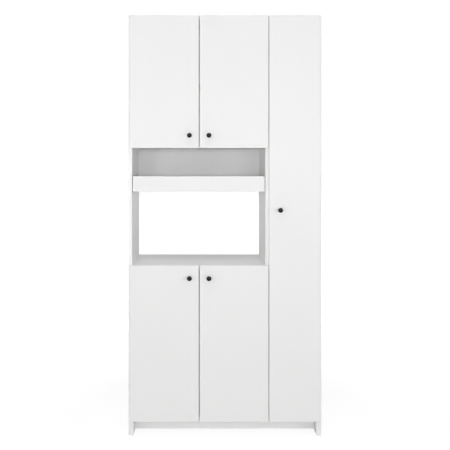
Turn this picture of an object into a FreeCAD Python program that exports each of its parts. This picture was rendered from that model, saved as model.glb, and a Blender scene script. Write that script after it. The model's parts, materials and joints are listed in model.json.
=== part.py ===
import FreeCAD, Part
import os
from math import cos, pi, sin

# A tall kitchen cabinet with an open microwave niche, a pull-out tray and five slab doors.
# Millimetres. +X is to the right, +Y to the back and +Z up. The ground is at Z 0, and the
# origin is below the middle of the whole cabinet, knobs included.

# Carcass
overall_height = 1800.0
carcass_depth = 383.0
side_board = 15.0
divider_board = 22.0
shelf_board = 15.0
niche_clear_width = 572.0
tall_clear_width = 203.0
base_height = 65.5
niche_floor_height = 731.0
niche_clear_height = 503.0
board_edge_chamfer = 0.5

# Backs and rails
back_board = 3.0
back_groove_depth = 5.0
back_groove_play = 0.3
rail_board = 22.0
wall_rail_height = 80.0
wall_hole_radius = 2.5
wall_hole_spacing = 480.0
tray_rail_height = 52.0

# Feet and kick board
foot_width = 22.0
foot_length = 110.0
foot_radius = 6.0
kick_board_thickness = 15.0
kick_setback = 62.5
kick_ground_gap = 10.0

# Doors
door_thickness = 15.0
door_setback = 2.0
door_gap = 3.0
door_edge_chamfer = 0.8
side_reveal = 7.2
divider_cover = 12.0
lower_door_rise = 1.8
pad_width = 9.0
pad_play = 0.3
pad_from_closing_edge = 30.0

# Knobs
knob_projection = 24.0
knob_head_radius = 10.5
knob_neck_radius = 4.5
knob_neck_length = 14.0
knob_from_closing_edge = 40.0
knob_from_end_edge = 53.5
tall_knob_from_edge = 47.0
tall_knob_height = 969.0

# Concealed hinges: cup, crank link, arm and mounting plate
hinge_from_door_end = 100.0
small_door_hinge_count = 2
tall_door_hinge_count = 3
cup_radius = 17.2
cup_mouth_radius = 15.5
cup_from_door_edge = 4.3
cup_depth = 11.0
cup_floor = 1.0
cup_play = 0.3
cup_wing_thickness = 1.0
cup_wing_half_length = 26.0
cup_wing_outer_reach = 8.0
cup_wing_inner_reach = 15.0
pivot_from_cup_centre = 7.0
pivot_past_door_back = 1.0
link_metal = 1.6
link_half_width = 4.5
link_bar_radius = 1.5
link_bar_play = 0.1
link_root_run = 3.5
link_root_lift = 0.4
link_rise_run = 6.5
link_shoulder_lift = 2.8
link_bridge_start = 8.7
link_bridge_end = 17.0
link_bridge_lift = 5.2
link_fall_run = 18.8
link_tip_start_run = 18.7
link_tip_start_drop = 1.0
link_tip_run = 17.7
link_tip_drop = 6.3
arm_metal = 1.2
arm_half_width = 6.2
arm_nose = 2.3
arm_web_start = 8.0
arm_end = 52.0
arm_height = 21.5
arm_foot_height = 14.6
plate_metal = 2.0
plate_centre_depth = 37.0
plate_length = 18.0
plate_half_height = 24.0
plate_boss_play = 0.3

# Shelves and the angle clips that carry them
shelf_side_play = 1.0
shelf_back_play = 3.0
shelf_setback = 20.0
tall_shelf_count = 4
clip_metal = 1.5
clip_leg = 14.0
clip_length = 18.0
clip_inset = 40.0

# Corner blocks that join the level boards to the upright panels
block_leg = 18.0
block_edge = 5.0
block_length = 34.0
block_front_inset = 75.0
block_back_inset = 60.0

# Pull-out tray in the niche
tray_front_bottom = 1047.5
tray_front_height = 65.5
tray_front_board = 15.0
tray_front_recess = 2.0
tray_front_side_gap = 3.0
tray_side_board = 12.0
tray_box_depth = 325.0
tray_box_lift = 5.5
tray_side_height = 47.0
tray_bottom_board = 3.0
tray_bottom_lift = 6.0
tray_groove_depth = 5.0
tray_groove_play = 0.3

# Telescopic slides of the tray
slide_space = 12.0
slide_metal = 1.2
slide_play = 0.4
slide_half_height = 17.5
slide_length = 300.0

# Places across the cabinet
overall_width = 2 * side_board + niche_clear_width + divider_board + tall_clear_width
left_outer = -overall_width / 2
left_inner = left_outer + side_board
divider_left = left_inner + niche_clear_width
divider_right = divider_left + divider_board
right_inner = divider_right + tall_clear_width
right_outer = right_inner + side_board
niche_middle = (left_inner + divider_left) / 2

# Places from front to back
overall_depth = carcass_depth + door_setback + door_thickness + knob_projection
rear = overall_depth / 2
carcass_front = rear - carcass_depth
door_back = carcass_front - door_setback
door_front = door_back - door_thickness
back_rear = rear - rail_board
back_front = back_rear - back_board
shelf_front = carcass_front + shelf_setback
shelf_back = back_front - shelf_back_play

# Places above the ground
bottom_top = base_height + shelf_board
niche_floor_underside = niche_floor_height - shelf_board
niche_ceiling = niche_floor_height + niche_clear_height
upper_floor_top = niche_ceiling + shelf_board
top_underside = overall_height - shelf_board
upper_shelf_height = (upper_floor_top + top_underside - shelf_board) / 2
lower_shelf_height = (bottom_top + niche_floor_underside - shelf_board) / 2
tall_shelf_pitch = (top_underside - bottom_top + shelf_board) / (tall_shelf_count + 1)
tall_shelf_heights = [bottom_top + number * tall_shelf_pitch - shelf_board
                      for number in range(1, tall_shelf_count + 1)]

# Door outlines
small_doors_left = left_outer + side_reveal
small_doors_right = divider_left + divider_cover
small_door_width = (small_doors_right - small_doors_left - door_gap) / 2
tall_door_left = small_doors_right + door_gap
tall_door_right = right_outer - side_reveal
lower_door_top = niche_floor_height + lower_door_rise

across = FreeCAD.Vector(1, 0, 0)
backwards = FreeCAD.Vector(0, 1, 0)
forwards = FreeCAD.Vector(0, -1, 0)
upwards = FreeCAD.Vector(0, 0, 1)
origin = FreeCAD.Vector(0, 0, 0)
overshoot = 1.0
nodes = {}


def board(x_low, x_high, y_low, y_high, z_low, z_high):
    corner = FreeCAD.Vector(x_low, y_low, z_low)
    return Part.makeBox(x_high - x_low, y_high - y_low, z_high - z_low, corner)


def eased(shape, size):
    """Take the sharp edge off the outline of a board's front face."""
    front = shape.BoundBox.YMin
    edges = [edge for edge in shape.Edges if abs(edge.CenterOfMass.y - front) < 0.001]
    return shape.makeChamfer(size, edges)


def group(shapes):
    return Part.makeCompound(shapes)


def mirrored(shape):
    return shape.mirror(origin, across)


# Back panels, each let into grooves in the boards beside it
groove_reach = back_groove_depth - back_groove_play


def back_panel(x_left, x_right, z_low, z_high):
    return board(x_left - groove_reach, x_right + groove_reach, back_front, back_rear, z_low, z_high)


def groove_for(panel):
    """A groove as large as the panel and deeper than its edges by the play."""
    box = panel.BoundBox
    play = back_groove_play
    return board(box.XMin - play, box.XMax + play, box.YMin, box.YMax, box.ZMin - play, box.ZMax + play)


upper_back = back_panel(left_inner, divider_left, tray_front_bottom, top_underside + groove_reach)
lower_back = back_panel(left_inner, divider_left, bottom_top - groove_reach, niche_floor_underside + groove_reach)
tall_back = back_panel(divider_right, right_inner, bottom_top - groove_reach, top_underside + groove_reach)
back_grooves = group([groove_for(upper_back), groove_for(lower_back), groove_for(tall_back)])


# Rails behind the upper back; the top one is screwed to the wall through the back panel
def wall_hole(x_place):
    start = FreeCAD.Vector(x_place, back_front - overshoot, top_underside - wall_rail_height / 2)
    return Part.makeCylinder(wall_hole_radius, rear - back_front + 2 * overshoot, start, backwards)


wall_holes = group([wall_hole(niche_middle - wall_hole_spacing / 2), wall_hole(niche_middle + wall_hole_spacing / 2)])
wall_rail = board(left_inner, divider_left, back_rear, rear, top_underside - wall_rail_height, top_underside)
nodes["upper_back_panel"] = upper_back.cut(wall_holes)
nodes["lower_back_panel"] = lower_back
nodes["tall_back_panel"] = tall_back
nodes["wall_rail"] = wall_rail.cut(wall_holes)
nodes["tray_rail"] = board(left_inner, divider_left, back_rear, rear,
                           tray_front_bottom, tray_front_bottom + tray_rail_height)


# Upright panels and level boards of the carcass
def upright(x_left, x_right, z_low, z_high):
    plain = board(x_left, x_right, carcass_front, rear, z_low, z_high)
    return eased(plain, board_edge_chamfer).cut(back_grooves)


def level_board(x_left, x_right, z_low, y_back):
    return board(x_left, x_right, carcass_front, y_back, z_low, z_low + shelf_board).cut(back_grooves)


nodes["left_side_panel"] = upright(left_outer, left_inner, base_height, overall_height)
nodes["right_side_panel"] = upright(right_inner, right_outer, base_height, overall_height)
nodes["centre_divider"] = upright(divider_left, divider_right, bottom_top, top_underside)
nodes["top_panel"] = level_board(left_inner, right_inner, top_underside, rear)
nodes["bottom_panel"] = level_board(left_inner, right_inner, base_height, rear)
nodes["niche_floor"] = level_board(left_inner, divider_left, niche_floor_underside, rear)
nodes["upper_cabinet_floor"] = level_board(left_inner, divider_left, niche_ceiling, back_front)


# Feet, rounded along the ground, and the kick board between the front ones
def foot(x_left, y_front):
    plain = board(x_left, x_left + foot_width, y_front, y_front + foot_length, 0, base_height)
    long_ground_edges = []
    for edge in plain.Edges:
        if edge.BoundBox.ZMax < 0.001 and edge.BoundBox.YLength > foot_width:
            long_ground_edges.append(edge)
    return plain.makeFillet(foot_radius, long_ground_edges)


nodes["front_left_foot"] = foot(left_outer, carcass_front)
nodes["front_right_foot"] = foot(right_outer - foot_width, carcass_front)
nodes["rear_left_foot"] = foot(left_outer, rear - foot_length)
nodes["rear_right_foot"] = foot(right_outer - foot_width, rear - foot_length)
kick_front = carcass_front + kick_setback
nodes["kick_board"] = board(left_outer + foot_width, right_outer - foot_width,
                            kick_front, kick_front + kick_board_thickness, kick_ground_gap, base_height)


# Loose shelves, and the angle clips below them
def shelf(x_left, x_right, height):
    plain = board(x_left + shelf_side_play, x_right - shelf_side_play, shelf_front, shelf_back,
                  height, height + shelf_board)
    return eased(plain, board_edge_chamfer)


def corner_piece(points, wall, inward, y_front, length, height, upward):
    """A piece in the corner of a wall and a level face, from distances out from the wall and off the face."""
    corners = [FreeCAD.Vector(wall + inward * x, y_front, height + upward * z) for x, z in points]
    return Part.Face(Part.makePolygon(corners + corners[:1])).extrude(backwards * length)


shelf_rows = [(left_inner, divider_left, upper_shelf_height), (left_inner, divider_left, lower_shelf_height)]
for height in tall_shelf_heights:
    shelf_rows.append((divider_right, right_inner, height))
nodes["upper_shelf"] = shelf(left_inner, divider_left, upper_shelf_height)
nodes["lower_shelf"] = shelf(left_inner, divider_left, lower_shelf_height)
for number, height in enumerate(tall_shelf_heights):
    nodes["tall_shelf_%d" % (number + 1)] = shelf(divider_right, right_inner, height)

clip_outline = [(0, 0), (clip_leg, 0), (clip_leg, clip_metal), (clip_metal, clip_metal),
                (clip_metal, clip_leg), (0, clip_leg)]
shelf_clips = []
for x_left, x_right, height in shelf_rows:
    for y_front in (shelf_front + clip_inset, shelf_back - clip_inset - clip_length):
        shelf_clips.append(corner_piece(clip_outline, x_left, 1, y_front, clip_length, height, -1))
        shelf_clips.append(corner_piece(clip_outline, x_right, -1, y_front, clip_length, height, -1))
nodes["shelf_clips"] = group(shelf_clips)

# Corner blocks in the cupboards, below or above each fixed board
block_outline = [(0, 0), (block_leg, 0), (block_leg, block_edge), (block_edge, block_leg), (0, block_leg)]
block_rows = [
    (left_inner, divider_left, niche_floor_underside, -1),
    (left_inner, divider_left, upper_floor_top, 1),
    (left_inner, divider_left, top_underside, -1),
    (left_inner, divider_left, bottom_top, 1),
    (divider_right, right_inner, top_underside, -1),
    (divider_right, right_inner, bottom_top, 1),
]
corner_blocks = []
for x_left, x_right, height, upward in block_rows:
    for y_front in (carcass_front + block_front_inset, back_front - block_back_inset - block_length):
        corner_blocks.append(corner_piece(block_outline, x_left, 1, y_front, block_length, height, upward))
        corner_blocks.append(corner_piece(block_outline, x_right, -1, y_front, block_length, height, upward))
nodes["corner_blocks"] = group(corner_blocks)


def knob(x_place, z_place):
    """A round head on a neck, turned about an axis that runs forwards from the door's front."""
    outline = [
        (0, 0),
        (knob_neck_radius, 0),
        (knob_neck_radius, knob_neck_length),
        (knob_head_radius, knob_neck_length),
        (knob_head_radius, knob_projection),
        (0, knob_projection),
    ]
    corners = [FreeCAD.Vector(radius, -length, 0) for radius, length in outline]
    solid = Part.Face(Part.makePolygon(corners + corners[:1])).revolve(origin, forwards, 360)
    solid.translate(FreeCAD.Vector(x_place, door_front, z_place))
    return solid


# The concealed hinge is drawn at a left-hand door edge: X from the door's edge, Y from the
# carcass front and Z from the middle of the hinge. The door turns about an axis in its own
# thickness near that edge. The crank link turns on the arm's nose and reaches over the rim of
# the cup, whose inside leaves it room at every angle of the door.
cup_centre = cup_from_door_edge + cup_radius
pivot = FreeCAD.Vector(cup_centre - pivot_from_cup_centre, -door_setback - pivot_past_door_back, 0)


def standing(points, half_height):
    """A prism on an outline in the level plane, as high above the hinge's middle as below it."""
    corners = [FreeCAD.Vector(x, y, -half_height) for x, y in points]
    face = Part.Face(Part.makePolygon(corners + corners[:1]))
    return face.extrude(upwards * (2 * half_height))


def hinge_cup():
    mouth = FreeCAD.Vector(cup_centre, -door_setback, 0)
    body = Part.makeCylinder(cup_radius, cup_depth, mouth, forwards)
    wings = board(cup_centre - cup_wing_outer_reach, cup_centre + cup_wing_inner_reach, -door_setback,
                  -door_setback + cup_wing_thickness, -cup_wing_half_length, cup_wing_half_length)
    hollow_mouth = mouth + backwards * (cup_wing_thickness + overshoot)
    hollow_depth = cup_depth - cup_floor + cup_wing_thickness + overshoot
    hollow = Part.makeCylinder(cup_mouth_radius, hollow_depth, hollow_mouth, forwards)
    return body.fuse(wings).removeSplitter().cut(hollow)


def cup_bore():
    mouth = FreeCAD.Vector(cup_centre, -door_setback + overshoot, 0)
    return Part.makeCylinder(cup_radius + cup_play, cup_depth + cup_play + overshoot, mouth, forwards)


def hinge_arm():
    """A channel that opens towards the panel and narrows to two notched ears around the link's bar."""
    side = [
        (pivot.x - arm_nose, pivot.y - arm_nose / 2),
        (pivot.x - arm_nose, 0),
        (arm_foot_height, arm_web_start),
        (arm_foot_height, arm_end),
        (arm_height, arm_end),
        (arm_height, arm_web_start),
        (pivot.x + arm_nose, pivot.y - arm_nose / 2),
    ]
    inner = arm_half_width - arm_metal
    front = pivot.y - 2 * arm_nose
    inside = board(0, arm_height - arm_metal, front, arm_end + overshoot, -inner, inner)
    throat = board(0, arm_height + overshoot, front, arm_web_start, -inner, inner)
    notch_half = link_bar_radius + link_bar_play
    notch = board(pivot.x - notch_half, pivot.x + notch_half, front, pivot.y + notch_half,
                  -arm_half_width - overshoot, arm_half_width + overshoot)
    return standing(side, arm_half_width).cut(inside).cut(throat).cut(notch)


def hinge_link():
    """A bent strip of even thickness with an eight-sided cross bar at its first end."""
    bends = [
        (0, 0),
        (link_root_run, link_root_lift),
        (link_rise_run, link_shoulder_lift),
        (link_bridge_start, link_bridge_lift),
        (link_bridge_end, link_bridge_lift),
        (link_fall_run, link_shoulder_lift),
        (link_tip_start_run, -link_tip_start_drop),
        (link_tip_run, -link_tip_drop),
    ]
    path = [pivot + FreeCAD.Vector(x, y, 0) for x, y in bends]
    near_side = []
    far_side = []
    for number, point in enumerate(path):
        before = path[max(number - 1, 0)]
        after = path[min(number + 1, len(path) - 1)]
        along = (after - before).normalize()
        aside = FreeCAD.Vector(-along.y, along.x, 0) * (link_metal / 2)
        near_side.append(point + aside)
        far_side.append(point - aside)
    outline = [(corner.x, corner.y) for corner in near_side + far_side[::-1]]
    bar_angles = [(number + 0.5) * pi / 4 for number in range(8)]
    bar_outline = [(pivot.x + link_bar_radius * cos(angle), pivot.y + link_bar_radius * sin(angle))
                   for angle in bar_angles]
    return standing(outline, link_half_width).fuse(standing(bar_outline, arm_half_width)).removeSplitter()


def hinge_plate(panel_face):
    """The plate on the panel, whose boss carries the arm's web."""
    front = plate_centre_depth - plate_length / 2
    base = board(panel_face, panel_face + plate_metal, front, front + plate_length,
                 -plate_half_height, plate_half_height)
    boss_half = arm_half_width - arm_metal - plate_boss_play
    boss = board(panel_face, arm_height - arm_metal, front, front + plate_length, -boss_half, boss_half)
    return base.fuse(boss).removeSplitter()


def placed(shape, door_edge, hinge_left, height):
    """Put a hinge piece at a door's hinge edge; a right-hand door gets its mirror image."""
    copy = shape.copy() if hinge_left else mirrored(shape)
    copy.translate(FreeCAD.Vector(door_edge, carcass_front, height))
    return copy


# Each door's outline, its hinges, how far the panel's face is from the door's hinge edge, its
# knob and the boards that carry its pads
upper_door = {"bottom": niche_ceiling, "top": overall_height, "hinge_count": small_door_hinge_count,
              "knob_height": niche_ceiling + knob_from_end_edge, "knob_inset": knob_from_closing_edge,
              "pad_boards": (niche_ceiling, top_underside)}
lower_door = {"bottom": base_height, "top": lower_door_top, "hinge_count": small_door_hinge_count,
              "knob_height": lower_door_top - knob_from_end_edge, "knob_inset": knob_from_closing_edge,
              "pad_boards": (base_height, niche_floor_underside)}
tall_door = {"bottom": base_height, "top": overall_height, "hinge_count": tall_door_hinge_count,
             "knob_height": tall_knob_height, "knob_inset": tall_knob_from_edge,
             "pad_boards": (base_height, top_underside)}
left_place = {"left": small_doors_left, "right": small_doors_left + small_door_width, "hinge_left": True,
              "panel_face": left_inner - small_doors_left}
right_place = {"left": small_doors_right - small_door_width, "right": small_doors_right, "hinge_left": False,
               "panel_face": small_doors_right - divider_left}
tall_place = {"left": tall_door_left, "right": tall_door_right, "hinge_left": False,
              "panel_face": tall_door_right - right_inner}
doors = {
    "upper_left": {**upper_door, **left_place},
    "upper_right": {**upper_door, **right_place},
    "lower_left": {**lower_door, **left_place},
    "lower_right": {**lower_door, **right_place},
    "tall": {**tall_door, **tall_place},
}

arms = []
plates = []
pads = []
for name, door in doors.items():
    hinge_left = door["hinge_left"]
    hinge_edge = door["left"] if hinge_left else door["right"]
    closing_edge = door["right"] if hinge_left else door["left"]
    towards_hinge = -1 if hinge_left else 1
    first_hinge = door["bottom"] + hinge_from_door_end
    hinge_pitch = (door["top"] - door["bottom"] - 2 * hinge_from_door_end) / (door["hinge_count"] - 1)

    leaf = board(door["left"], door["right"], door_front, door_back, door["bottom"], door["top"])
    leaf = eased(leaf, door_edge_chamfer)
    cups = []
    links = []
    for number in range(door["hinge_count"]):
        height = first_hinge + number * hinge_pitch
        leaf = leaf.cut(placed(cup_bore(), hinge_edge, hinge_left, height))
        cups.append(placed(hinge_cup(), hinge_edge, hinge_left, height))
        links.append(placed(hinge_link(), hinge_edge, hinge_left, height))
        arms.append(placed(hinge_arm(), hinge_edge, hinge_left, height))
        plates.append(placed(hinge_plate(door["panel_face"]), hinge_edge, hinge_left, height))
    nodes[name + "_door"] = leaf
    nodes[name + "_hinge_cups"] = group(cups)
    nodes[name + "_hinge_links"] = group(links)
    nodes[name + "_knob"] = knob(closing_edge + towards_hinge * door["knob_inset"], door["knob_height"])

    # Soft pads on the board edges behind the closing edge, low and high
    pad_left = closing_edge + towards_hinge * pad_from_closing_edge - pad_width / 2
    for board_low in door["pad_boards"]:
        pad_low = board_low + (shelf_board - pad_width) / 2
        pads.append(board(pad_left, pad_left + pad_width, door_back + pad_play, carcass_front,
                          pad_low, pad_low + pad_width))
nodes["hinge_arms"] = group(arms)
nodes["hinge_plates"] = group(plates)
nodes["door_pads"] = group(pads)

# The tray: a front and a shallow box that rides on slides at both sides
tray_front_y = carcass_front + tray_front_recess
tray_box_front = tray_front_y + tray_front_board
tray_box_back = tray_box_front + tray_box_depth
tray_box_left = left_inner + slide_space
tray_box_right = divider_left - slide_space
tray_box_bottom = tray_front_bottom + tray_box_lift
tray_box_top = tray_box_bottom + tray_side_height
tray_floor_low = tray_box_bottom + tray_bottom_lift
tray_floor_top = tray_floor_low + tray_bottom_board
tray_inner_left = tray_box_left + tray_side_board
tray_inner_right = tray_box_right - tray_side_board
tray_inner_back = tray_box_back - tray_side_board


def tray_floor(reach):
    """The tray's bottom, reaching this far into the boards around it."""
    return board(tray_inner_left - reach, tray_inner_right + reach, tray_box_front - reach,
                 tray_inner_back + reach, tray_floor_low, tray_floor_top)


tray_groove = tray_floor(tray_groove_depth)
tray_front = board(left_inner + tray_front_side_gap, divider_left - tray_front_side_gap, tray_front_y,
                   tray_box_front, tray_front_bottom, tray_front_bottom + tray_front_height)
tray_left_side = board(tray_box_left, tray_inner_left, tray_box_front, tray_box_back,
                       tray_box_bottom, tray_box_top)
tray_right_side = board(tray_inner_right, tray_box_right, tray_box_front, tray_box_back,
                        tray_box_bottom, tray_box_top)
tray_back = board(tray_inner_left, tray_inner_right, tray_inner_back, tray_box_back,
                  tray_box_bottom, tray_box_top)
nodes["tray_front"] = eased(tray_front, door_edge_chamfer).cut(tray_groove)
nodes["tray_left_side"] = tray_left_side.cut(tray_groove)
nodes["tray_right_side"] = tray_right_side.cut(tray_groove)
nodes["tray_back"] = tray_back.cut(tray_groove)
nodes["tray_bottom"] = tray_floor(tray_groove_depth - tray_groove_play)


def slide_member(web, rim, half_height):
    """A channel: X out from the wall, with its web at one side and its rims reaching to the other."""
    inner = half_height - slide_metal
    inside = web + slide_metal if rim > web else web - slide_metal
    points = [(web, -half_height), (rim, -half_height), (rim, -inner), (inside, -inner),
              (inside, inner), (rim, inner), (rim, half_height), (web, half_height)]
    corners = [FreeCAD.Vector(x, 0, z) for x, z in points]
    return Part.Face(Part.makePolygon(corners + corners[:1])).extrude(backwards * slide_length)


def slide_pair(member):
    """One member beside each side of the tray."""
    place = FreeCAD.Vector(0, tray_box_front + slide_play, (tray_box_bottom + tray_box_top) / 2)
    left = member.copy()
    left.translate(place + across * left_inner)
    right = mirrored(member)
    right.translate(place + across * divider_left)
    return group([left, right])


# Each member nests in the next larger one with the running play all round
slide_step = slide_metal + slide_play
rim_end = slide_space - slide_step
nodes["tray_slides_fixed"] = slide_pair(slide_member(0, rim_end, slide_half_height))
nodes["tray_slides_middle"] = slide_pair(slide_member(slide_step, rim_end, slide_half_height - slide_step))
nodes["tray_slides_moving"] = slide_pair(slide_member(slide_space, 2 * slide_step,
                                                      slide_half_height - 2 * slide_step))

os.makedirs("parts", exist_ok=True)
for name, shape in nodes.items():
    shape.exportStep("parts/" + name + ".step")
    print(name, "solids", len(shape.Solids), "valid", shape.isValid())
print("nodes", len(nodes), "width", overall_width, "depth", overall_depth)
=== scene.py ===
import bpy
import json
from math import radians
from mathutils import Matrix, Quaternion, Vector


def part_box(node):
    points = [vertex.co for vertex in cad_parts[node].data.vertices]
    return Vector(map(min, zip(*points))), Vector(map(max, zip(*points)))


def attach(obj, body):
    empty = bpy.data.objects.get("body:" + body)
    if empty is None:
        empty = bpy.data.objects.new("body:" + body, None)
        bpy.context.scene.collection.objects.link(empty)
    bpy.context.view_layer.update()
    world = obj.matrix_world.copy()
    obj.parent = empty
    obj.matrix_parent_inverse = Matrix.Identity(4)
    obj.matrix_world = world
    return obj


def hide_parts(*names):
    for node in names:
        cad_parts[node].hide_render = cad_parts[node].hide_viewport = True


# A tall white kitchen cabinet with an open microwave niche, a pull-out tray and five doors.
# Everything is in metres, in the frame's own place: +X right, +Y back, +Z up.

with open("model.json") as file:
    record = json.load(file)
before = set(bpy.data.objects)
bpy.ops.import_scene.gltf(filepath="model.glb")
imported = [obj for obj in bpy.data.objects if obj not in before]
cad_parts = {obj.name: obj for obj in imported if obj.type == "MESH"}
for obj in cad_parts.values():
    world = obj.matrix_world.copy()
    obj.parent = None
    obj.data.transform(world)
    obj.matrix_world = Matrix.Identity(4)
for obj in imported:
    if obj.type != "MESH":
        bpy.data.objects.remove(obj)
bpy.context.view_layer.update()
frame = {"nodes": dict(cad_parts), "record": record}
bpy.ops.object.select_all(action="DESELECT")

# Camera: level, straight at the front, raised and shifted as the photograph was framed
camera = {"place": (-0.0983, -3.488, 1.187), "lens": 61.9, "sensor": 36.0, "shift": (0.0511, -0.1467)}
bpy.ops.object.camera_add(location=camera["place"], rotation=(radians(90), 0, 0))
photoCamera = bpy.context.object
photoCamera.name = "photoCamera"
photoCamera.data.lens = camera["lens"]
photoCamera.data.sensor_width = camera["sensor"]
photoCamera.data.shift_x, photoCamera.data.shift_y = camera["shift"]
bpy.context.scene.camera = photoCamera
bpy.context.scene.view_settings.view_transform = "Standard"
print("camera set")


class Wire:  # a socket of a finish, with arithmetic
    def __init__(self, finish, socket):
        self.finish = finish
        self.socket = socket

    def math(self, operation, left, right):
        return self.finish.node("ShaderNodeMath", {"operation": operation}, {0: left, 1: right})

    def __add__(self, other): return self.math("ADD", self, other)
    def __radd__(self, other): return self.math("ADD", other, self)
    def __sub__(self, other): return self.math("SUBTRACT", self, other)
    def __rsub__(self, other): return self.math("SUBTRACT", other, self)
    def __mul__(self, other): return self.math("MULTIPLY", self, other)
    def __rmul__(self, other): return self.math("MULTIPLY", other, self)
    def __gt__(self, other): return self.math("GREATER_THAN", self, other)
    def __lt__(self, other): return self.math("LESS_THAN", self, other)


class Finish:  # a material and its nodes, on the object's own coordinates
    def __init__(self, name, **constants):
        self.material = bpy.data.materials.new(name)
        self.material.use_nodes = True
        self.tree = self.material.node_tree
        self.shader = self.tree.nodes["Principled BSDF"]
        self.put(**constants)
        self.place = self.node("ShaderNodeTexCoord", output="Object")
        self.facing = self.node("ShaderNodeTexCoord", output="Normal")

    def node(self, kind, settings=None, sockets=None, output=0):
        made = self.tree.nodes.new(kind)
        for name, value in (settings or {}).items():
            setattr(made, name, value)
        for name, value in (sockets or {}).items():
            self.join(made.inputs[name], value)
        return Wire(self, made.outputs[output])

    def join(self, socket, value):
        if isinstance(value, Wire):
            self.tree.links.new(value.socket, socket)
        else:
            socket.default_value = value

    def put(self, **values):
        names = {"colour": "Base Color", "roughness": "Roughness", "metallic": "Metallic",
                 "specular": "Specular IOR Level", "normal": "Normal"}
        for name, value in values.items():
            if name == "colour" and not isinstance(value, Wire):
                value = (*value, 1.0)
            self.join(self.shader.inputs[names[name]], value)

    def noise(self, scale, detail=2.0, roughness=0.5):
        return self.node("ShaderNodeTexNoise", None, {"Vector": self.place, "Scale": scale,
                                                      "Detail": detail, "Roughness": roughness})

    def wander(self, middle, noise, spread):  # a value that a noise carries to both sides of its middle
        return middle + (noise - 0.5) * spread

    def chips(self, scale):  # a different random grey for each small cell
        cells = self.node("ShaderNodeTexVoronoi", None, {"Vector": self.place, "Scale": scale}, 1)
        return self.part(cells, 0)

    def blend(self, mask, first, second):
        colours = [(*value, 1.0) if isinstance(value, tuple) else value for value in (first, second)]
        return self.node("ShaderNodeMix", {"data_type": "RGBA"}, {0: mask, 6: colours[0], 7: colours[1]}, 2)

    def bump(self, height, depth):
        return self.node("ShaderNodeBump", None, {"Height": height, "Distance": depth})

    def part(self, vector, axis):
        return self.node("ShaderNodeSeparateXYZ", None, {"Vector": vector}, axis)


# Bare particleboard: flat chips of a few shades, with painted shade darkening the gaps between them
chipLook = {"light": (0.56, 0.40, 0.23), "dark": (0.33, 0.21, 0.105), "hollow": (0.15, 0.09, 0.045),
            "scale": 520.0, "fineRatio": 2.5, "hollowBelow": 0.42, "hollowShare": 0.8,
            "depth": 0.0002, "roughness": 0.85}
squareOn = 0.95  # a face that looks this squarely forwards or backwards is a board's edge
reliefUnit = 0.001  # the bump node takes a board's relief in millimetres


def boardFinish(name, look):  # white faced board; an edged one has a band in front and is bare at the back
    finish = Finish(name, specular=look["specular"])
    cloud = finish.noise(look["cloudScale"], detail=3.0)
    pearl = finish.noise(look["pearlScale"])
    across = finish.part(finish.facing, 1)
    colour = finish.blend(cloud, look["light"], look["shade"])
    roughness = finish.wander(look["roughness"], pearl, look["roughnessSpread"])
    relief = pearl * look["pearlDepth"]
    if look["edged"]:
        band = across < -squareOn
        colour = finish.blend(band, colour, look["band"])
        roughness = roughness - band * look["bandPolish"]
        bare = across > squareOn
        chips = finish.chips(chipLook["scale"])
        fine = finish.noise(chipLook["scale"] * chipLook["fineRatio"], detail=4.0, roughness=0.7)
        # painted shade: the gaps between the chips are darkened in their colour, standing in for the shade
        # in them
        hollows = (fine < chipLook["hollowBelow"]) * chipLook["hollowShare"]
        wood = finish.blend(chips, chipLook["dark"], chipLook["light"])
        wood = finish.blend(hollows, wood, chipLook["hollow"])
        colour = finish.blend(bare, colour, wood)
        roughness = roughness * (1 - bare) + bare * chipLook["roughness"]
        relief = relief * (1 - bare) + (chips + fine) * bare * chipLook["depth"]
    finish.put(colour=colour, roughness=roughness)
    finish.put(normal=finish.bump(relief * (1 / reliefUnit), reliefUnit))
    return finish.material


frontLook = {"light": (0.840, 0.840, 0.837), "shade": (0.824, 0.824, 0.822), "cloudScale": 3.0,
             "pearlScale": 700.0, "pearlDepth": 0.00004, "roughness": 0.38, "roughnessSpread": 0.2,
             "specular": 0.45, "edged": False}
carcassLook = {"light": (0.935, 0.935, 0.932), "shade": (0.920, 0.920, 0.917), "cloudScale": 4.0,
               "pearlScale": 800.0, "pearlDepth": 0.00005, "roughness": 0.52, "roughnessSpread": 0.2,
               "specular": 0.25, "edged": True, "band": (0.93, 0.93, 0.927), "bandPolish": 0.08}
trayLook = {"light": (0.850, 0.850, 0.847), "shade": (0.832, 0.832, 0.830), "cloudScale": 6.0,
            "pearlScale": 800.0, "pearlDepth": 0.00005, "roughness": 0.48, "roughnessSpread": 0.2,
            "specular": 0.4, "edged": False}
paintLook = {"light": (0.885, 0.885, 0.88), "shade": (0.865, 0.865, 0.86), "cloudScale": 5.0,
             "pearlScale": 240.0, "pearlDepth": 0.00012, "roughness": 0.42, "roughnessSpread": 0.15,
             "specular": 0.45, "edged": False}
frontBoard = boardFinish("frontBoard", frontLook)
carcassBoard = boardFinish("carcassBoard", carcassLook)
trayBoard = boardFinish("trayBoard", trayLook)
paintedWood = boardFinish("paintedWood", paintLook)

# Thin fibreboard: printed white towards the front, bare and brown behind
backLook = {"white": (0.935, 0.935, 0.933), "shade": (0.92, 0.92, 0.918), "cloudScale": 5.0,
            "fibre": (0.30, 0.185, 0.095), "fibreDark": (0.19, 0.11, 0.055), "fibreScale": 260.0,
            "behindFrom": 0.5, "depth": 0.00008, "printedDepthShare": 0.25,
            "roughness": 0.55, "bareRoughening": 0.25, "specular": 0.35}


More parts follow.
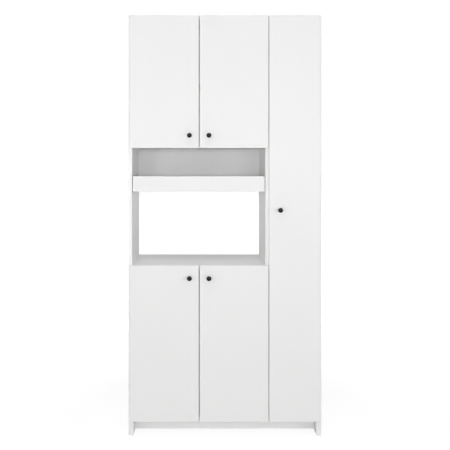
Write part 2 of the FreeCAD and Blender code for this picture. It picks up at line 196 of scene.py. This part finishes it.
def backFinish(name, look):
    finish = Finish(name, specular=look["specular"])
    behind = finish.part(finish.facing, 1) > look["behindFrom"]
    cloud = finish.noise(look["cloudScale"], detail=3.0)
    fibre = finish.noise(look["fibreScale"], detail=6.0, roughness=0.75)
    printed = finish.blend(cloud, look["white"], look["shade"])
    bare = finish.blend(fibre, look["fibreDark"], look["fibre"])
    shallow = look["printedDepthShare"]
    finish.put(colour=finish.blend(behind, printed, bare))
    finish.put(roughness=look["roughness"] + behind * look["bareRoughening"])
    finish.put(normal=finish.bump(fibre * (shallow + behind * (1 - shallow)), look["depth"]))
    return finish.material


backBoard = backFinish("backBoard", backLook)


def metalFinish(name, look):
    finish = Finish(name, metallic=1.0)
    mottle = finish.noise(look["mottleScale"], detail=4.0, roughness=0.6)
    grain = finish.noise(look["grainScale"])
    finish.put(colour=finish.blend(mottle, look["light"], look["dark"]))
    finish.put(roughness=finish.wander(look["roughness"], mottle, look["spread"]))
    finish.put(normal=finish.bump(grain, look["depth"]))
    return finish.material


hingeSteel = metalFinish("hingeSteel", {"light": (0.74, 0.73, 0.70), "dark": (0.62, 0.61, 0.585),
                                        "mottleScale": 90.0, "grainScale": 1500.0, "roughness": 0.27,
                                        "spread": 0.2, "depth": 0.00001})
clipSteel = metalFinish("clipSteel", {"light": (0.70, 0.72, 0.74), "dark": (0.55, 0.57, 0.60),
                                      "mottleScale": 60.0, "grainScale": 900.0, "roughness": 0.36,
                                      "spread": 0.2, "depth": 0.00002})


def plasticFinish(name, look):
    finish = Finish(name, specular=look["specular"])
    grain = finish.noise(look["grainScale"], detail=3.0)
    finish.put(colour=finish.blend(grain, look["light"], look["dark"]))
    finish.put(roughness=finish.wander(look["roughness"], grain, look["spread"]))
    finish.put(normal=finish.bump(grain, look["depth"]))
    return finish.material


knobBlack = plasticFinish("knobBlack", {"light": (0.010, 0.010, 0.011), "dark": (0.005, 0.005, 0.006),
                                        "grainScale": 900.0, "roughness": 0.30, "spread": 0.12,
                                        "depth": 0.00001, "specular": 0.2})
blockPlastic = plasticFinish("blockPlastic", {"light": (0.84, 0.84, 0.825), "dark": (0.80, 0.80, 0.785),
                                              "grainScale": 500.0, "roughness": 0.42, "spread": 0.2,
                                              "depth": 0.00003, "specular": 0.5})
padRubber = plasticFinish("padRubber", {"light": (0.78, 0.78, 0.77), "dark": (0.70, 0.70, 0.69),
                                        "grainScale": 400.0, "roughness": 0.3, "spread": 0.1,
                                        "depth": 0.00001, "specular": 0.5})
slidePaint = plasticFinish("slidePaint", {"light": (0.88, 0.88, 0.872), "dark": (0.85, 0.85, 0.842),
                                          "grainScale": 1200.0, "roughness": 0.38, "spread": 0.2,
                                          "depth": 0.00004, "specular": 0.5})

finishes = {"front_board": frontBoard, "carcass_board": carcassBoard, "tray_board": trayBoard,
            "back_board": backBoard, "rail_wood": paintedWood, "knob_black": knobBlack,
            "hinge_steel": hingeSteel, "slide_steel": slidePaint, "clip_steel": clipSteel,
            "block_plastic": blockPlastic, "pad_rubber": padRubber, "base_paint": paintedWood}
for entry in frame["record"]["subparts"]:
    slots = frame["nodes"][entry["node"]].data.materials
    slots.clear()
    slots.append(finishes[entry["material_slot"]])
print("finishes on the frame:", len(finishes))


def lone(piece):  # makes one piece the only one selected, and the active one
    bpy.ops.object.select_all(action="DESELECT")
    piece.select_set(True)
    bpy.context.view_layer.objects.active = piece


def turned(name, sides, rings):  # a closed turned shape on its own origin, from (radius, height) rings
    bpy.ops.object.select_all(action="DESELECT")
    radius, height = rings[0]
    bpy.ops.mesh.primitive_circle_add(vertices=sides, radius=radius, fill_type="NGON", location=(0, 0, 0))
    shape = bpy.context.object
    shape.name = name
    bpy.ops.object.mode_set(mode="EDIT")
    for nextRadius, nextHeight in rings[1:]:
        bpy.ops.mesh.extrude_region_move(TRANSFORM_OT_translate={"value": (0, 0, nextHeight - height)})
        bpy.ops.transform.resize(value=(nextRadius / radius, nextRadius / radius, 1))
        radius, height = nextRadius, nextHeight
    bpy.ops.mesh.select_all(action="SELECT")
    bpy.ops.mesh.normals_make_consistent(inside=False)
    bpy.ops.object.mode_set(mode="OBJECT")
    return shape


def cutAway(shape, tool):  # takes one shape out of another and throws the tool away
    lone(shape)
    cut = shape.modifiers.new("cut", "BOOLEAN")
    cut.operation = "DIFFERENCE"
    cut.solver = "EXACT"
    cut.object = tool
    bpy.ops.object.modifier_apply(modifier=cut.name)
    throwAway(tool)


def throwAway(shape):
    lone(shape)
    bpy.ops.object.delete()


def copied(shape, name, spots):  # copies of a shape at spots of (place, turn), joined to one piece
    copies = []
    for place, turn in spots:
        lone(shape)
        bpy.ops.object.duplicate()
        bpy.context.object.location = place
        bpy.context.object.rotation_mode = "QUATERNION"
        bpy.context.object.rotation_quaternion = turn
        copies.append(bpy.context.object)
    for copy in copies:
        copy.select_set(True)
    bpy.ops.object.join()
    piece = bpy.context.object
    piece.name = name
    piece.data.name = name
    bpy.ops.object.transform_apply(location=True, rotation=True, scale=True)
    return piece


def settle(piece, body, finish, creaseAngle=35):  # smooths a piece, gives it its finish and its body
    lone(piece)
    bpy.ops.object.shade_smooth_by_angle(angle=radians(creaseAngle))
    piece.data.materials.clear()
    piece.data.materials.append(finish)
    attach(piece, body)


def facing(outward, twist=0.0):  # the turn that stands a shape on a face that looks outward
    return Vector(outward).to_track_quat("Z", "X") @ Quaternion((0, 0, 1), twist)


def solidBoxes(node):  # the lowest and highest corner of each separate solid in a node
    mesh = frame["nodes"][node].data
    leader = {}

    def first(key):
        while leader.setdefault(key, key) != key:
            key = leader[key]
        return key

    keys = [tuple(round(value, 6) for value in vertex.co) for vertex in mesh.vertices]
    for face in mesh.polygons:
        corners = [first(keys[index]) for index in face.vertices]
        for corner in corners[1:]:
            leader[first(corner)] = first(corners[0])
    solids = {}
    for key in keys:
        solids.setdefault(first(key), []).append(key)
    boxes = []
    for points in solids.values():
        low = Vector([min(point[axis] for point in points) for axis in range(3)])
        high = Vector([max(point[axis] for point in points) for axis in range(3)])
        boxes.append((low, high))
    return sorted(boxes, key=lambda box: tuple(round(value, 5) for value in box[0]))


# The faces that the fittings stand on
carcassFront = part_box("niche_floor")[0][1]
leftWalls = (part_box("left_side_panel")[1][0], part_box("centre_divider")[1][0])
boardTops = (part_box("bottom_panel")[1][2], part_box("upper_cabinet_floor")[1][2])
touching = 0.0005


def wallSide(low):  # which way a fitting stands off its wall: 1 off a left-hand one, -1 off a right one
    return 1 if min(abs(low.x - wall) for wall in leftWalls) < touching else -1


# Screws with a domed head and a cross recess
screwLook = {"sides": 20, "rings": [(1.0, 0.0), (1.0, 0.22), (0.93, 0.55), (0.76, 0.84), (0.5, 1.0)],
             "recessWidth": 0.26, "recessReach": 0.42, "recessDepth": 0.55}


def crossScrew(name, radius, height):
    rings = [(radius * across, height * up) for across, up in screwLook["rings"]]
    head = turned(name, screwLook["sides"], rings)
    width = radius * screwLook["recessWidth"]
    bpy.ops.object.select_all(action="DESELECT")
    bpy.ops.mesh.primitive_cube_add(size=width, location=(0, 0, 0))
    cross = bpy.context.object
    for face in cross.data.polygons:  # its four upright sides
        face.select = abs(face.normal.z) < 0.5
    bpy.ops.object.mode_set(mode="EDIT")
    bpy.context.tool_settings.mesh_select_mode = (False, False, True)
    reach = radius * screwLook["recessReach"] - width / 2
    bpy.ops.mesh.extrude_faces_move(TRANSFORM_OT_shrink_fatten={"value": reach})
    bpy.ops.mesh.select_all(action="SELECT")
    depth = height * screwLook["recessDepth"]
    bpy.ops.transform.resize(value=(1, 1, 2 * depth / width))
    bpy.ops.transform.translate(value=(0, 0, height))
    bpy.ops.object.mode_set(mode="OBJECT")
    cutAway(head, cross)
    return head


# Knobs: a flared foot, a slim neck and a domed head, turned in one
knobLook = {"sides": 56, "creaseAngle": 50, "rings": [
    (0.0062, 0.0), (0.0062, 0.0010), (0.0058, 0.0015), (0.0050, 0.0028), (0.0044, 0.0050),
    (0.0042, 0.0082), (0.0045, 0.0108), (0.0054, 0.0128), (0.0070, 0.0142), (0.0088, 0.0150),
    (0.0099, 0.0158), (0.0104, 0.0170), (0.0105, 0.0184), (0.0103, 0.0198), (0.0096, 0.0212),
    (0.0084, 0.0223), (0.0066, 0.0231), (0.0045, 0.0236), (0.0024, 0.0239), (0.0008, 0.0240)]}
doorNames = ("upper_left", "upper_right", "lower_left", "lower_right", "tall")
knobShape = turned("knobShape", knobLook["sides"], knobLook["rings"])
for door in doorNames:
    low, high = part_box(door + "_knob")
    foot = Vector(((low[0] + high[0]) / 2, high[1], (low[2] + high[2]) / 2))
    knob = copied(knobShape, door + "_turnedKnob", [(foot, facing((0, -1, 0)))])
    settle(knob, door + "_door", knobBlack, knobLook["creaseAngle"])
    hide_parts(door + "_knob")
throwAway(knobShape)
print("knobs turned:", len(doorNames))

# Screws on the doors: two in each hinge cup's wings, and the knob's own with its washer behind the door
look = {"cupRadius": 0.0034, "cupHeight": 0.0009, "cupSpread": 0.0216, "cupInset": 0.0035,
        "cupTwist": 0.7,
        "knobRadius": 0.0042, "knobHeight": 0.0022, "knobTwist": 0.4,
        "washerSides": 28, "washerHeight": 0.0009, "washerRadius": 0.0058, "washerRim": (0.95, 0.7)}
cupScrew = crossScrew("cupScrew", look["cupRadius"], look["cupHeight"])
knobScrew = crossScrew("knobScrew", look["knobRadius"], look["knobHeight"])
washerRadius, washerHeight = look["washerRadius"], look["washerHeight"]
rimAcross, rimUp = look["washerRim"]
washer = turned("washer", look["washerSides"], [(washerRadius, 0.0), (washerRadius, washerHeight * rimUp),
                                                (washerRadius * rimAcross, washerHeight)])
for door in doorNames:
    low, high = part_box(door + "_knob")
    knobX, knobZ = (low[0] + high[0]) / 2, (low[2] + high[2]) / 2
    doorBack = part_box(door + "_door")[1][1]
    screwSpots = []
    for number, (cupLow, cupHigh) in enumerate(solidBoxes(door + "_hinge_cups")):
        middle = (cupLow + cupHigh) / 2
        inward = 1 if knobX > middle.x else -1
        for side in (-1, 1):
            place = (middle.x + inward * look["cupInset"], cupHigh.y, middle.z + side * look["cupSpread"])
            screwSpots.append((place, facing((0, 1, 0), look["cupTwist"] * number + side)))
    cupScrews = copied(cupScrew, door + "_cupScrews", screwSpots)
    settle(cupScrews, door + "_door", hingeSteel)
    pressed = copied(washer, door + "_knobWasher", [((knobX, doorBack, knobZ), facing((0, 1, 0)))])
    settle(pressed, door + "_door", hingeSteel)
    headSpot = ((knobX, doorBack + washerHeight, knobZ), facing((0, 1, 0), look["knobTwist"]))
    screwed = copied(knobScrew, door + "_knobScrew", [headSpot])
    settle(screwed, door + "_door", hingeSteel)
for shape in (cupScrew, knobScrew, washer):
    throwAway(shape)
print("door screws set")

# Soft pads: small pale domes on the board edges, which the doors close on
padLook = {"sides": 28, "creaseAngle": 50, "rings": [
    (0.0044, 0.0), (0.0045, 0.0003), (0.0043, 0.0009),
    (0.0036, 0.0014), (0.0022, 0.00164), (0.0008, 0.0017)]}
padShape = turned("padShape", padLook["sides"], padLook["rings"])
padSpots = []
for low, high in solidBoxes("door_pads"):
    padSpots.append((((low.x + high.x) / 2, high.y, (low.z + high.z) / 2), facing((0, -1, 0))))
pads = copied(padShape, "domedPads", padSpots)
settle(pads, "carcass", padRubber, padLook["creaseAngle"])
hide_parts("door_pads")
throwAway(padShape)
print("pads set:", len(padSpots))

# Corner blocks: a slanted face between two legs, with a pocket for the screw of each leg
blockLook = {"edge": 0.005, "round": 0.0008, "pocketSides": 24, "pocketRadius": 0.0041,
             "pocketFloor": 0.006, "stagger": 0.008, "screwTwist": 0.9}


def cornerBlock(leg, length):
    bpy.ops.object.select_all(action="DESELECT")
    bpy.ops.mesh.primitive_cube_add(size=1, location=(0, 0, 0))
    block = bpy.context.object
    bpy.ops.object.mode_set(mode="EDIT")
    bpy.ops.mesh.select_all(action="SELECT")
    bpy.ops.transform.resize(value=(leg, length, leg))
    bpy.ops.transform.translate(value=(leg / 2, 0, leg / 2))
    bpy.ops.mesh.select_all(action="DESELECT")
    bpy.ops.object.mode_set(mode="OBJECT")
    for edge in block.data.edges:
        ends = [block.data.vertices[index].co for index in edge.vertices]
        edge.select = all(end.x > leg / 2 and end.z > leg / 2 for end in ends)
    bpy.ops.object.mode_set(mode="EDIT")
    bpy.context.tool_settings.mesh_select_mode = (False, True, False)
    bpy.ops.mesh.bevel(offset=leg - blockLook["edge"], offset_type="OFFSET", segments=1, affect="EDGES")
    bpy.ops.mesh.select_all(action="SELECT")
    bpy.ops.mesh.bevel(offset=blockLook["round"], offset_type="OFFSET", segments=2, affect="EDGES")
    bpy.ops.object.mode_set(mode="OBJECT")
    radius = blockLook["pocketRadius"]
    for outward, place in pocketPlaces(leg):
        pocket = turned("pocket", blockLook["pocketSides"], [(radius, 0.0), (radius, leg)])
        pocket.location = place
        pocket.rotation_mode = "QUATERNION"
        pocket.rotation_quaternion = facing(outward)
        bpy.context.view_layer.update()
        cutAway(block, pocket)
    return block


def pocketPlaces(leg):  # which way each screw's pocket opens, and the middle of its floor
    floor, stagger = blockLook["pocketFloor"], blockLook["stagger"]
    return (((1, 0, 0), Vector((floor, stagger, leg / 2))), ((0, 0, 1), Vector((leg / 2, -stagger, floor))))


# A block's turn about the front-to-back axis, by its wall's side and by whether it stands or hangs
quarterTurns = {(1, 1): 0, (-1, 1): -90, (-1, -1): 180, (1, -1): 90}
blockBoxes = solidBoxes("corner_blocks")
blockSize = blockBoxes[0][1] - blockBoxes[0][0]
blockShape = cornerBlock(blockSize.x, blockSize.y)
blockSpots = []
blockScrewSpots = []
for number, (low, high) in enumerate(blockBoxes):
    side = wallSide(low)
    upward = 1 if min(abs(low.z - top) for top in boardTops) < touching else -1
    corner = Vector((low.x if side > 0 else high.x, (low.y + high.y) / 2, low.z if upward > 0 else high.z))
    turn = Quaternion((0, 1, 0), radians(quarterTurns[side, upward]))
    blockSpots.append((corner, turn))
    for outward, place in pocketPlaces(blockSize.x):
        twisted = facing(outward, blockLook["screwTwist"] * number)
        blockScrewSpots.append((corner + turn @ place, turn @ twisted))
blocks = copied(blockShape, "mouldedCornerBlocks", blockSpots)
settle(blocks, "carcass", blockPlastic)
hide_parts("corner_blocks")
throwAway(blockShape)
print("corner blocks moulded:", len(blockSpots))

# Screws in the cabinet: corner blocks, shelf clips, hinge plates and arms, and the rivets of the links
look = {"blockRadius": 0.0034, "blockHeight": 0.0016,
        "clipRadius": 0.0028, "clipHeight": 0.0013, "clipMetal": 0.0015, "clipStagger": 0.004,
        "wallTwist": 0.8, "shelfTwist": 1.1,
        "plateRadius": 0.0037, "plateHeight": 0.0017, "plateMetal": 0.002, "plateSpread": 0.017,
        "plateTwist": 0.6,
        "armRadius": 0.0034, "armHeight": 0.0014, "armPlaces": (0.037, 0.019), "armTwist": 1.3,
        "nose": 0.0023,
        "rivetSides": 18, "rivetRadius": 0.0020, "rivetHeight": 0.0005,
        "rivetRings": [(1.0, 0.0), (1.0, 0.35), (0.8, 0.8), (0.45, 1.0)]}
clipSpots = []
for number, (low, high) in enumerate(solidBoxes("shelf_clips")):
    side = wallSide(low)
    wall = low.x if side > 0 else high.x
    middle = (low + high) / 2
    alongLeg = (high.x - low.x + look["clipMetal"]) / 2
    onWall = (wall + side * look["clipMetal"], middle.y - look["clipStagger"], high.z - alongLeg)
    onShelf = (wall + side * alongLeg, middle.y + look["clipStagger"], high.z - look["clipMetal"])
    clipSpots.append((onWall, facing((side, 0, 0), look["wallTwist"] * number)))
    clipSpots.append((onShelf, facing((0, 0, -1), look["shelfTwist"] * number)))
plateSpots = []
for number, (low, high) in enumerate(solidBoxes("hinge_plates")):
    side = wallSide(low)
    wall = low.x if side > 0 else high.x
    middle = (low + high) / 2
    for up in (-1, 1):
        place = (wall + side * look["plateMetal"], middle.y, middle.z + up * look["plateSpread"])
        plateSpots.append((place, facing((side, 0, 0), look["plateTwist"] * number + up)))
armSpots = []
rivetSpots = []
nicheMiddle = (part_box("niche_floor")[0][0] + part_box("niche_floor")[1][0]) / 2
for number, (low, high) in enumerate(solidBoxes("hinge_arms")):
    side = 1 if low.x < nicheMiddle else -1
    web = high.x if side > 0 else low.x
    nose = low.x + look["nose"] if side > 0 else high.x - look["nose"]
    for behind in look["armPlaces"]:
        place = (web, carcassFront + behind, (low.z + high.z) / 2)
        armSpots.append((place, facing((side, 0, 0), look["armTwist"] * number)))
    rivetSpots.append(((nose, low.y + look["nose"] / 2, high.z), facing((0, 0, 1))))
    rivetSpots.append(((nose, low.y + look["nose"] / 2, low.z), facing((0, 0, -1))))
screwKinds = [("blockScrews", blockScrewSpots, "blockRadius", "blockHeight"),
              ("clipScrews", clipSpots, "clipRadius", "clipHeight"),
              ("plateScrews", plateSpots, "plateRadius", "plateHeight"),
              ("armScrews", armSpots, "armRadius", "armHeight")]
for name, spots, radius, height in screwKinds:
    shape = crossScrew(name + "Shape", look[radius], look[height])
    settle(copied(shape, name, spots), "carcass", hingeSteel)
    throwAway(shape)
rivetRings = [(look["rivetRadius"] * across, look["rivetHeight"] * up) for across, up in look["rivetRings"]]
rivetShape = turned("rivetShape", look["rivetSides"], rivetRings)
settle(copied(rivetShape, "linkRivets", rivetSpots), "carcass", hingeSteel)
throwAway(rivetShape)
print("fittings screwed down:", len(blockScrewSpots) + len(clipSpots) + len(plateSpots) + len(armSpots))

# Panel pins in the upper back: from behind into the floor before it, from inside into the rails behind it
pinLook = {"sides": 12, "rings": [(0.0018, 0.0), (0.0018, 0.0002), (0.0014, 0.0005), (0.0006, 0.0006)],
           "endGap": 0.03, "count": 7}
backLow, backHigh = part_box("upper_back_panel")
pinSpots = []
for carrier, depth, outward in (("upper_cabinet_floor", backHigh[1], 1), ("wall_rail", backLow[1], -1),
                                ("tray_rail", backLow[1], -1)):
    low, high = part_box(carrier)
    step = (high[0] - low[0] - 2 * pinLook["endGap"]) / (pinLook["count"] - 1)
    for number in range(pinLook["count"]):
        place = (low[0] + pinLook["endGap"] + number * step, depth, (low[2] + high[2]) / 2)
        pinSpots.append((place, facing((0, outward, 0))))
pinShape = turned("pinShape", pinLook["sides"], pinLook["rings"])
settle(copied(pinShape, "panelPins", pinSpots), "carcass", clipSteel)
throwAway(pinShape)
print("panel pins:", len(pinSpots))

# Floor and light: a pale floor that goes white to the camera and keeps the cabinet's shadow
studio = {"floorSize": 40.0, "floorDrop": 0.0005, "floorColour": 0.82, "glow": 1.12, "nearGlow": 0.8,
          "nearReach": 0.7, "farReach": 2.2, "roomLight": 0.2, "lampAim": (0, -0.1, 0.9)}
bpy.ops.mesh.primitive_plane_add(size=studio["floorSize"], location=(0, 0, -studio["floorDrop"]))
floor = bpy.context.object
floor.name = "studioFloor"
floorFinish = Finish("floorPaint", colour=(studio["floorColour"],) * 3, roughness=0.9, specular=0.1)
away = floorFinish.node("ShaderNodeVectorMath", {"operation": "LENGTH"}, {0: floorFinish.place}, 1)
share = floorFinish.node("ShaderNodeMapRange", None, {"Value": away, "From Min": studio["nearReach"],
                                                      "From Max": studio["farReach"],
                                                      "To Min": studio["nearGlow"], "To Max": 1.0})
seen = floorFinish.node("ShaderNodeLightPath", output="Is Camera Ray")
glow = floorFinish.node("ShaderNodeEmission", None, {"Strength": studio["glow"]})
paint = Wire(floorFinish, floorFinish.shader.outputs[0])
floorFinish.join(floorFinish.tree.nodes["Material Output"].inputs["Surface"],
                 floorFinish.node("ShaderNodeMixShader", None, {0: seen * share, 1: paint, 2: glow}))
floor.data.materials.append(floorFinish.material)

# The room is white to the camera, in gloss and through glass, and gives only a little light of its own
world = bpy.data.worlds.new("studioRoom")
bpy.context.scene.world = world
world.use_nodes = True
room = world.node_tree
sky = room.nodes["Background"]
sky.inputs["Color"].default_value = (1, 1, 1, 1)
rays = room.nodes.new("ShaderNodeLightPath").outputs
direct = rays["Is Camera Ray"]
for kind in ("Is Glossy Ray", "Is Transmission Ray"):
    either = room.nodes.new("ShaderNodeMath")
    either.operation = "MAXIMUM"
    room.links.new(direct, either.inputs[0])
    room.links.new(rays[kind], either.inputs[1])
    direct = either.outputs[0]
level = room.nodes.new("ShaderNodeMapRange")
level.inputs["To Min"].default_value = studio["roomLight"]
level.inputs["To Max"].default_value = 1.0
room.links.new(direct, level.inputs["Value"])
room.links.new(level.outputs["Result"], sky.inputs["Strength"])

lamps = [
    {"name": "nearLeft", "place": (-1.25, -5.6, 1.29), "size": (1.6, 0.5), "power": 43.5},
    {"name": "nearRight", "place": (1.05, -5.6, 1.29), "size": (1.6, 0.5), "power": 40.5},
    {"name": "frontLeft", "place": (-1.8, -4.0, 1.3), "size": (1.5, 0.8), "power": 6.0},
    {"name": "frontHigh", "place": (-0.1, -2.2, 4.2), "size": (1.5, 1.5), "power": 28.0},
    {"name": "frontLow", "place": (-0.1, -4.6, 0.2), "size": (1.0, 1.0), "power": 7.0},
    {"name": "sideLeft", "place": (-3.2, -2.6, 1.2), "size": (2.0, 0.7), "power": 23.0},
    {"name": "sideRight", "place": (3.2, -2.6, 1.2), "size": (2.0, 0.7), "power": 33.0},
    {"name": "edgeLeft", "place": (-3.6, 0.5, 1.3), "size": (1.5, 1.5), "power": 20.0},
    {"name": "edgeRight", "place": (3.6, 0.5, 1.3), "size": (1.5, 1.5), "power": 20.0},
    {"name": "behind", "place": (-0.1, 3.6, 1.6), "size": (2.5, 2.5), "power": 12.0},
]
for lamp in lamps:
    bpy.ops.object.light_add(type="AREA", location=lamp["place"])
    light = bpy.context.object
    light.name = lamp["name"]
    light.data.shape = "RECTANGLE"
    light.data.size, light.data.size_y = lamp["size"]
    light.data.energy = lamp["power"]
    aim = Vector(studio["lampAim"]) - light.location
    light.rotation_euler = aim.to_track_quat("-Z", "Y").to_euler()
print("studio set:", len(lamps), "lamps")
